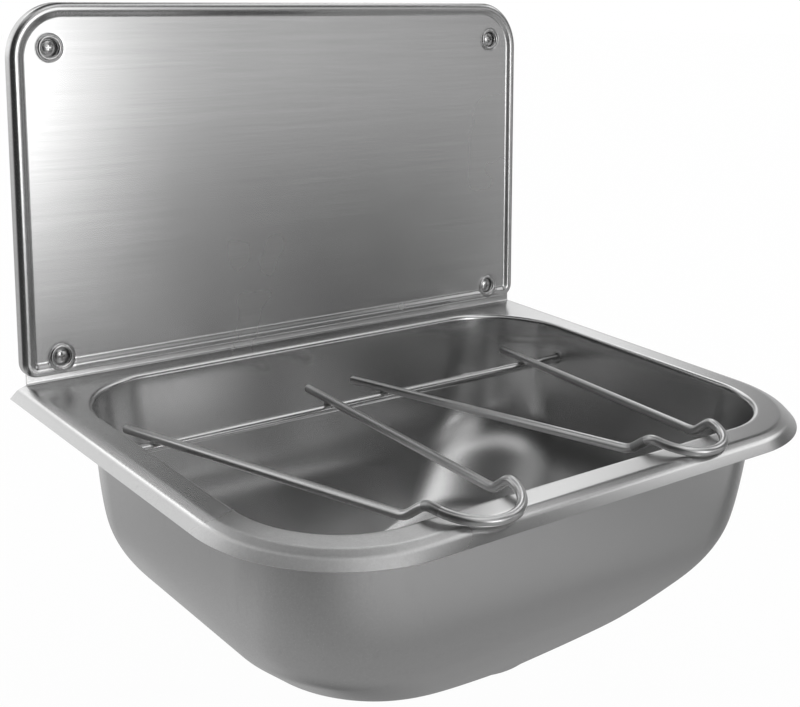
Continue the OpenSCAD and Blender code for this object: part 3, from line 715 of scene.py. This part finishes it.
def hairpinPath(g, loopSpread):
    # from the left leg's tail over the jog, round the loop on the deck and back
    onRod = g["rodR"] + g["wireR"] - g["weldSink"] - g["rodDrop"]
    turn = math.atan((g["legSpread"] - loopSpread) / 2 / (g["loopStart"] - g["rodBack"]))
    loopR = loopSpread / 2 / math.cos(turn)
    fall = (g["jogH"] - g["wireR"] - g["loopGap"]) / (bowl["deckFront"] - g["jogTop"])

    def leg(side, out, height):
        return Vector((side * (g["legSpread"] / 2 - math.tan(turn) * (out - g["rodBack"])), -out, height))

    def legHeight(out):
        return onRod + math.tan(math.radians(g["legRise"])) * (out - g["rodBack"])

    def half(side):
        tail = leg(side, g["rodBack"] - g["tail"], legHeight(g["rodBack"] - g["tail"]))
        foot = leg(side, g["jogFoot"], legHeight(g["jogFoot"]))
        top = leg(side, g["jogTop"], g["jogH"])
        start = leg(side, g["loopStart"], g["jogH"] - fall * (g["loopStart"] - g["jogTop"]))
        return [tail, foot, top, start]

    loop = []
    for i in range(1, g["loopSteps"]):
        a = math.pi + turn + (math.pi - 2 * turn) * i / g["loopSteps"]
        out = g["loopStart"] - loopR * math.sin(turn) - loopR * math.sin(a)
        loop.append(Vector((loopR * math.cos(a), -out, g["jogH"] - fall * (out - g["jogTop"]))))
    line = relaxed(half(-1) + loop + list(reversed(half(1))), g["step"], g["bendRounds"])
    first, last = (line[1] - line[0]).normalized(), (line[-2] - line[-1]).normalized()
    head = [line[0] + first * c for c, _ in g["wireEnd"]]
    tail = [line[-1] + last * c for c, _ in reversed(g["wireEnd"])]
    return head + line[2:-2] + tail


def wireTree(material):
    # sweeps a round wire along a line whose points say how thick it is there
    tree, given, ids = newTree("wireAlongLine", {"Wire radius": 0.0035, "Sides": 24})
    share = put(tree, "GeometryNodeInputNamedAttribute", {"Name": "share"}, data_type="FLOAT")
    line = put(tree, "GeometryNodeMeshToCurve", links={"Mesh": given["Geometry"]})
    section = put(tree, "GeometryNodeCurvePrimitiveCircle",
                  links={"Resolution": given["Sides"], "Radius": given["Wire radius"]})
    wire = put(tree, "GeometryNodeCurveToMesh", {"Fill Caps": True},
               {"Curve": line["Curve"], "Profile Curve": section["Curve"], "Scale": share["Attribute"]})
    endTree(tree, wire["Mesh"], material)
    return tree, ids


def weldTree(material):
    # a small uneven bead on every point
    tree, given, ids = newTree("weldBeads", {"Length": 0.0035, "Width": 0.0035, "Height": 0.0015,
                                             "Unevenness": 0.0005})
    ball = put(tree, "GeometryNodeMeshIcoSphere", {"Radius": 1.0, "Subdivisions": 4})
    size = put(tree, "ShaderNodeCombineXYZ",
               links={"X": given["Length"], "Y": given["Width"], "Z": given["Height"]})
    beads = put(tree, "GeometryNodeInstanceOnPoints", links={
        "Points": given["Geometry"], "Instance": ball["Mesh"], "Scale": size["Vector"]})
    real = put(tree, "GeometryNodeRealizeInstances", links={"Geometry": beads["Instances"]})
    rough = put(tree, "ShaderNodeTexNoise", {"Scale": 700.0, "Detail": 2.0})
    middle = maths(tree, "SUBTRACT", rough["Fac"], 0.55)
    amount = maths(tree, "MULTIPLY", middle, given["Unevenness"])
    normal = put(tree, "GeometryNodeInputNormal")
    push = put(tree, "ShaderNodeVectorMath", links={0: normal["Normal"], "Scale": amount}, operation="SCALE")
    moved = put(tree, "GeometryNodeSetPosition",
                links={"Geometry": real["Geometry"], "Offset": push["Vector"]})
    endTree(tree, moved["Geometry"], material)
    return tree, ids


def sweptWire(g, name, points, shares, tree):
    line = bpy.data.meshes.new("line")
    line.from_pydata([tuple(p) for p in points], [(i, i + 1) for i in range(len(points) - 1)], [])
    line.transform(toMetres)
    line.attributes.new("share", "FLOAT", "POINT").data.foreach_set("value", shares)
    return grown(name, line, tree, {"Wire radius": g["wireR"] * mm, "Sides": g["wireSides"]}, 50)


def buttWeld(g, path, run, middle, tree):
    # the ground weld that closes a hairpin, a hair thicker than its wire
    near = [p for p, s in zip(path, run) if abs(s - middle) < g["buttHalf"]]
    swell = [1 + g["buttSwell"] * math.sin(math.pi * (i + 0.5) / len(near)) for i in range(len(near))]
    return sweptWire(g, "butt", near, swell, tree)


def makeHairpins(g):
    wires, weldWire, spots, sleeves = wireTree(wireSteel), wireTree(weldSteel), [], []
    for name, (x, turn, loopSpread, joint) in g["hairpins"].items():
        place = hairpinPlace(g, x, turn)
        path = [place @ p for p in hairpinPath(g, loopSpread)]
        run = [0]
        for p, q in zip(path, path[1:]):
            run.append(run[-1] + (q - p).length)
        shares = [1.0] * len(path)
        for k, (_, cut) in enumerate(g["wireEnd"]):
            shares[k] = shares[-1 - k] = 1 - cut / g["wireR"]
        mesh = sweptWire(g, "wire_" + name, path, shares, wires)
        addPiece("wire_" + name, mesh, "grate", ["hairpin_" + name])
        sleeves.append(buttWeld(g, path, run, joint * run[-1], weldWire))
        onTop = g["rodR"] - g["weldLow"] - g["rodDrop"]
        for legX in (-g["legSpread"] / 2, g["legSpread"] / 2):
            spots.append(toMetres @ place @ Vector((legX, -g["rodBack"], onTop)))
    marks = bpy.data.meshes.new("marks")
    marks.from_pydata([tuple(p) for p in spots], [], [])
    length, width, height = g["weldBead"]
    welds = grown("welds", marks, weldTree(weldSteel), {
        "Length": length * mm, "Width": width * mm, "Height": height * mm,
        "Unevenness": g["weldRough"] * mm}, 60)
    addPiece("gratewelds", joined("gratewelds", [welds, *sleeves]), "grate", (), weldSteel)


makeRod(grate)
makeHairpins(grate)
print("grate made")

# Wall screws: pan heads with a cross recess, and threaded shanks
screws = {
    "acrossX": 437, "acrossZ": 236, "headR": 6, "headH": 3.6, "recess": 1.8, "seat": 4.2, "inHead": 0.5,
    "neckR": 3, "neckEnd": -4, "neckEase": 1, "coreR": 2.45, "tooth": 0.55, "pitch": 2.1, "threadStart": 0.8,
    "reach": 45, "tip": 6, "tipR": 0.35, "tipLap": 0.6,
    "tipThread": (0.9, 0.7, 0.8),     # its start above the tip, its radius there, share of the tooth
}
# Shares of a head's radius: half length and half width of the cross at its foot and mouth, and the
# radius of the bit's point at both. Edge is a share of the height, the rest in millimetres.
panHead = {
    "edge": 0.4, "ease": 0.25, "foot": (0.34, 0.07), "mouth": (0.66, 0.19),
    "bit": (0.05, 0.3), "bitDeeper": 0.3, "over": 0.6,
}


def threadTree(material):
    tree, given, ids = newTree("thread", {"Turns": 10.0, "Start radius": 0.00245, "End radius": 0.00245,
                                          "Height": 0.02, "Tooth": 0.0005, "Points each turn": 28})
    spiral = put(tree, "GeometryNodeCurveSpiral", links={
        "Resolution": given["Points each turn"], "Rotations": given["Turns"], "Height": given["Height"],
        "Start Radius": given["Start radius"], "End Radius": given["End radius"]})
    upright = put(tree, "GeometryNodeSetCurveNormal", links={"Curve": spiral["Curve"]}, mode="Z_UP")
    tooth = put(tree, "GeometryNodeCurvePrimitiveCircle", {"Resolution": 4}, {"Radius": given["Tooth"]})
    ridge = put(tree, "GeometryNodeCurveToMesh", {"Fill Caps": True},
                {"Curve": upright["Curve"], "Profile Curve": tooth["Curve"]})
    endTree(tree, ridge["Mesh"], material)
    return tree, ids


def thread(made, low, high, startR, endR, tooth, pitch, points=28):
    # a ridge that winds up from one height to the other
    blank = bpy.data.meshes.new("blank")
    mesh = grown("thread", blank, made, {
        "Turns": (high - low) / pitch, "Start radius": startR * mm, "End radius": endR * mm,
        "Height": (high - low) * mm, "Tooth": tooth * mm, "Points each turn": points}, 30)
    mesh.transform(Matrix.Translation((0, 0, low * mm)))
    return mesh


def screwHead(r, h, recess, base):
    c = panHead
    edge, ease = c["edge"] * h, c["ease"]
    turns = [math.radians(90 * i / 12) for i in range(12)]
    dome = [(r * math.cos(a), base + edge + (h - edge) * math.sin(a)) for a in turns]
    head = meshFrom("head", turnedSolid([(0, base), (r - ease, base), (r, base + ease), *dome, (0, base + h)]))
    low, high = base + h - recess, base + h + c["over"]
    cross = prism((low, *(k * r for k in c["foot"])), (high, *(k * r for k in c["mouth"])))
    tools = [meshFrom("slot", cross, Matrix.Rotation(math.radians(turn), 4, "Z")) for turn in (0, 90)]
    point, (small, wide) = low - c["bitDeeper"], c["bit"]
    bit = [(0, point), (small * r, point), (wide * r, high), (0, high)]
    tools.append(meshFrom("bit", turnedSolid(bit, 24)))
    return cutBy(head, tools, "head", 35)


def screwGridTree(material):
    # four of them, at the corners of an oblong
    tree, given, ids = newTree("screwGrid", {"Across": 0.437, "Up": 0.236})
    grid = put(tree, "GeometryNodeMeshGrid", {"Vertices X": 2, "Vertices Y": 2},
               {"Size X": given["Across"], "Size Y": given["Up"]})
    four = put(tree, "GeometryNodeInstanceOnPoints",
               links={"Points": grid["Mesh"], "Instance": given["Geometry"]})
    endTree(tree, four["Instances"], material)
    return tree, ids


def makeScrews(s):
    threads = threadTree(brightSteel)
    core, low, bend = s["coreR"], -s["reach"], s["tip"] - s["reach"]
    top, neck, lap = s["seat"] + s["inHead"], s["neckEnd"], bend - s["tipLap"]
    profile = [(0, top), (s["neckR"], top), (s["neckR"], neck), (core, neck - s["neckEase"]), (core, bend),
               (s["tipR"], low), (0, low)]
    shank = meshFrom("shank", turnedSolid(profile, 40))
    above, startR, toothShare = s["tipThread"]
    parts = [screwHead(s["headR"], s["headH"], s["recess"], s["seat"]), shank,
             thread(threads, lap, neck - s["threadStart"], core, core, s["tooth"], s["pitch"]),
             thread(threads, low + above, lap, startR, core, s["tooth"] * toothShare, s["pitch"])]
    mesh = grown("wallScrews", joined("screw", parts), screwGridTree(brightSteel),
                 {"Across": s["acrossX"] * mm, "Up": s["acrossZ"] * mm}, 35)
    mesh.transform(onWall)
    nodes = ["wall_screw_" + k for k in ("top_left", "top_right", "bottom_left", "bottom_right")]
    addPiece("wallScrews", mesh, "sink", nodes)
    return threads


threads = makeScrews(screws)
print("wall screws made")

# Waste under the bowl: strainer, its screw, two gaskets and the threaded body.
# Heights are measured from the deck, along the drain.
waste = {
    "plate": [(3.3, -182), (25, -182), (25, -178.5), (35, -178.5), (35, -177.3), (23.8, -177.3), (23.8, -180.8),
              (3.3, -180.8)],
    "plateEase": 0.55, "holeR": 2.5, "innerRing": 11.9, "outerRing": 18.56, "innerHoles": 8, "outerHoles": 12,
    "holeMiddle": -181.4,
    "screwTop": -180.8, "screwHeadR": 6, "screwHeadH": 3.2, "screwRecess": 1.8, "shankR": 3, "shankL": 14.2,
    "shankIn": 0.5, "shankEase": 0.6,
    "upperGasket": [(26, -180), (34, -180), (34, -178.5), (26, -178.5)],
    "lowerGasket": [(26, -184), (37, -184), (37, -181), (26, -181)], "gasketEase": 0.45,
    "body": [(32, -184), (38, -184), (38, -187), (35, -187), (23.3, -200), (23.3, -230), (20.9, -230),
             (20.9, -199), (32, -186)],
    "bodyEase": 0.8, "crest": 23.9, "tooth": 0.6, "pitch": 2.31, "threadLow": -229, "threadHigh": -202,
    "bridge": (31.5, 2, -195, -187), "bridgeFoot": 0.8, "bossR": 7, "boreR": 2.75, "bossEase": 0.5,
}


def roundedLoop(points, cut, steps=4):
    n = len(points)
    return [q for k in range(n) for q in eased(points[k - 1], points[k], points[(k + 1) % n], cut, steps)]


def sieveTree(material):
    # cuts two rings of round holes
    tree, given, ids = newTree("sieve", {"Hole radius": 0.0025, "Inner ring": 0.012, "Outer ring": 0.0185,
                                         "Inner holes": 8, "Outer holes": 12, "Height": -0.18})
    punch = put(tree, "GeometryNodeMeshCylinder", {"Vertices": 32, "Depth": 0.006},
                {"Radius": given["Hole radius"]})
    both = tree.nodes.new("GeometryNodeJoinGeometry")
    for radius, count in (("Inner ring", "Inner holes"), ("Outer ring", "Outer holes")):
        spots = put(tree, "GeometryNodeMeshCircle", links={"Radius": given[radius], "Vertices": given[count]})
        half = put(tree, "ShaderNodeCombineXYZ", links={"Z": maths(tree, "DIVIDE", math.pi, given[count])})
        up = put(tree, "ShaderNodeCombineXYZ", links={"Z": given["Height"]})
        turned = put(tree, "GeometryNodeTransform", links={
            "Geometry": spots["Mesh"], "Rotation": half["Vector"], "Translation": up["Vector"]})
        punches = put(tree, "GeometryNodeInstanceOnPoints",
                      links={"Points": turned["Geometry"], "Instance": punch["Mesh"]})
        tree.links.new(punches["Instances"], both.inputs["Geometry"])
    real = put(tree, "GeometryNodeRealizeInstances", links={"Geometry": both.outputs["Geometry"]})
    cut = tree.nodes.new("GeometryNodeMeshBoolean")
    cut.operation, cut.solver = "DIFFERENCE", "EXACT"
    tree.links.new(given["Geometry"], cut.inputs["Mesh 1"])
    tree.links.new(real["Geometry"], cut.inputs["Mesh 2"])
    endTree(tree, cut.outputs["Mesh"], material)
    return tree, ids


def makeWaste(w):
    down = toMetres @ onDrain @ toMetres.inverted()

    def settle(name, mesh, material):
        mesh.transform(down)
        addPiece(name.replace("_", ""), mesh, "sink", [name], material)

    plate = meshFrom("plate", revolved(roundedLoop(w["plate"], w["plateEase"]), 96))
    sieve = grown("strainer", plate, sieveTree(brightSteel), {
        "Hole radius": w["holeR"] * mm, "Inner ring": w["innerRing"] * mm, "Outer ring": w["outerRing"] * mm,
        "Inner holes": w["innerHoles"], "Outer holes": w["outerHoles"], "Height": w["holeMiddle"] * mm}, 35)
    settle("strainer_plate", sieve, None)
    r, ease = w["shankR"], w["shankEase"]
    seat, end = w["screwTop"], w["screwTop"] - w["shankL"]
    top = seat + w["shankIn"]
    shank = turnedSolid([(0, top), (r, top), (r, end + ease), (r - ease, end), (0, end)], 40)
    head = screwHead(w["screwHeadR"], w["screwHeadH"], w["screwRecess"], seat)
    screw = joined("strainerScrew", [head, meshFrom("shank", shank)], 35)
    settle("strainer_screw", screw, brightSteel)
    for name in ("upper", "lower"):
        seal = revolved(roundedLoop(w[name + "Gasket"], w["gasketEase"]), 96)
        settle(name + "_gasket", meshFrom(name + "Gasket", seal), rubber)
    halfL, halfW, low, high = w["bridge"]
    bar = prism((low, halfL * w["bridgeFoot"], halfW), (high, halfL, halfW))
    boss = [(w["boreR"], low), (w["bossR"], low), (w["bossR"], high), (w["boreR"], high)]
    root = w["crest"] - w["tooth"]
    parts = [meshFrom("cup", revolved(roundedLoop(w["body"], w["bodyEase"]), 96)), meshFrom("bar", bar),
             meshFrom("boss", revolved(roundedLoop(boss, w["bossEase"]), 48)),
             thread(threads, w["threadLow"], w["threadHigh"], root, root, w["tooth"], w["pitch"], 72)]
    settle("waste_body", joined("wasteBody", parts, 35), wasteWhite)


makeWaste(waste)
print("waste made")

# Studio, in metres: white floor and world, two soft lamps, and a tent round the sink that only
# the metal reflects. A glow of the tent: azimuth, half width, fade; elevation, half height,
# fade; strength. A lamp: azimuth, elevation, softness, power.
studio = {
    "floorHeight": -0.79, "floorHalf": 40, "floorTone": 0.98, "floorRough": 0.9, "ownLight": 0.85, "level": 0.6,
    "lamps": {"softKey": (-40, 50, 70, 1.1), "softFill": (60, 40, 90, 0.6)},
    "tentR": 2.5, "tentLow": -0.74, "tentRows": 90, "tentColumns": 120, "tentPole": 89.9, "tentBase": 0.04,
    "glows": {
        "frontKey": (11, 1.5, 12, 0, 3.5, 11, 3.6),
        "frontWide": (19.5, 13, 29, 3, 2, 11, 0.87),
        "frontHigh": (2, 14.5, 15, 36.5, 10.5, 20, 0.58),
        "rightLow": (54.5, 1, 12, -12.5, 6.5, 13, 0.58),
        "rightHigh": (72, 12.5, 13, 30.5, 1.5, 11.5, 1.65),
        "overhead": (50, 36, 30, 55.5, 3, 12, 1.25),
        "rightBack": (127, 1.5, 12, 35.5, 16, 22.5, 0.87),
        "cameraHigh": (-68, 58, 26, 60, 3, 11, 0.7),
        "back": (160, 33.5, 19.5, 41.5, 3.5, 11, 1.4),
        "backLow": (156, 42.5, 56, -6.5, 13, 22.5, 0.55),
        "leftBack": (-146.5, 28, 19.5, 27.5, 14, 22.5, 0.87),
        "leftFoot": (-176.5, 11, 23, -23.5, 19.5, 26, 0.08),
        "floorFront": (7, 13, 46.5, -29, 2, 13, 0.33),
        "floorLeft": (-152, 49.5, 67, -58, 12.5, 28, 0.44),
        "floorRight": (25.5, 64, 52, -59, 8, 39.5, 0.29),
    },
}


def glowAt(s, azimuth, elevation):
    total = s["tentBase"]
    for a, halfA, fadeA, e, halfE, fadeE, strength in s["glows"].values():
        awayA = abs((azimuth - a + 180) % 360 - 180)
        inA = 1 - smoothStep(halfA, halfA + fadeA, awayA)
        inE = 1 - smoothStep(halfE, halfE + fadeE, abs(elevation - e))
        total += strength * inA * inE
    return total


def makeTent(s):
    rows, columns, pole, verts, glow = s["tentRows"], s["tentColumns"], s["tentPole"], [], []
    for j in range(rows + 1):
        for i in range(columns):
            azimuth, elevation = 360 * i / columns - 180, 180 * j / rows - 90
            p = outward(azimuth, max(-pole, min(pole, elevation))) * s["tentR"]
            verts.append(p * min(1, s["tentLow"] / p.z) if p.z < s["tentLow"] else p)
            glow.append(glowAt(s, azimuth, elevation))
    _, faces = ringFaces([[0] * columns] * (rows + 1))
    mesh = bpy.data.meshes.new("tent")
    mesh.from_pydata([tuple(v) for v in verts], [], faces)
    mesh.attributes.new("glow", "FLOAT", "POINT").data.foreach_set("value", glow)
    tent = placed("tent", mesh)
    tent.visible_camera = tent.visible_diffuse = tent.visible_shadow = tent.visible_transmission = False
    m = bpy.data.materials.new("tentCloth")
    m.use_nodes = True
    m.cycles.emission_sampling = "NONE"
    tree = m.node_tree
    tree.nodes.remove(tree.nodes["Principled BSDF"])
    given = put(tree, "ShaderNodeAttribute", attribute_name="glow")
    light = put(tree, "ShaderNodeEmission", links={"Strength": given["Fac"]})
    tree.links.new(light["Emission"], tree.nodes["Material Output"].inputs["Surface"])
    mesh.materials.append(m)


def seenDirectly(tree):
    # 1 for camera, glossy and transmission rays
    path = put(tree, "ShaderNodeLightPath")
    either = maths(tree, "MAXIMUM", path["Is Camera Ray"], path["Is Glossy Ray"])
    return maths(tree, "MAXIMUM", either, path["Is Transmission Ray"])


def makeFloor(s):
    half = s["floorHalf"]
    corners = [(x * half, y * half, s["floorHeight"]) for x, y in ((-1, -1), (1, -1), (1, 1), (-1, 1))]
    mesh = bpy.data.meshes.new("floor")
    mesh.from_pydata(corners, [], [(0, 1, 2, 3)])
    m = bpy.data.materials.new("floorWhite")
    m.use_nodes = True
    tree = m.node_tree
    shader = tree.nodes["Principled BSDF"]
    shader.inputs["Base Color"].default_value = (*[s["floorTone"]] * 3, 1)
    shader.inputs["Roughness"].default_value = s["floorRough"]
    light = put(tree, "ShaderNodeEmission", {"Strength": 1.0})
    share = maths(tree, "MULTIPLY", seenDirectly(tree), s["ownLight"])
    both = put(tree, "ShaderNodeMixShader",
               links={0: share, 1: shader.outputs["BSDF"], 2: light["Emission"]})
    tree.links.new(both["Shader"], tree.nodes["Material Output"].inputs["Surface"])
    mesh.materials.append(m)
    placed("floor", mesh)


def makeWorld(s):
    world = bpy.data.worlds.new("studio")
    bpy.context.scene.world = world
    world.use_nodes = True
    world.cycles.sampling_method = "NONE"
    tree = world.node_tree
    soft = tree.nodes["Background"]
    soft.inputs["Color"].default_value = (1, 1, 1, 1)
    soft.inputs["Strength"].default_value = s["level"]
    white = put(tree, "ShaderNodeBackground", {"Color": (1, 1, 1, 1), "Strength": 1.0})
    both = put(tree, "ShaderNodeMixShader",
               links={0: seenDirectly(tree), 1: soft.outputs["Background"], 2: white["Background"]})
    tree.links.new(both["Shader"], tree.nodes["World Output"].inputs["Surface"])


def makeLamp(name, azimuth, elevation, softness, power):
    data = bpy.data.lights.new(name, "SUN")
    data.angle, data.energy = math.radians(softness), power
    lamp = bpy.data.objects.new(name, data)
    lamp.rotation_euler = outward(azimuth, elevation).to_track_quat("Z", "Y").to_euler()
    lamp.visible_glossy = False
    bpy.context.scene.collection.objects.link(lamp)


makeFloor(studio)
makeWorld(studio)
makeTent(studio)
for lampName, light in studio["lamps"].items():
    makeLamp(lampName, *light)
bpy.context.scene.view_settings.view_transform = "Standard"
print("stage made")
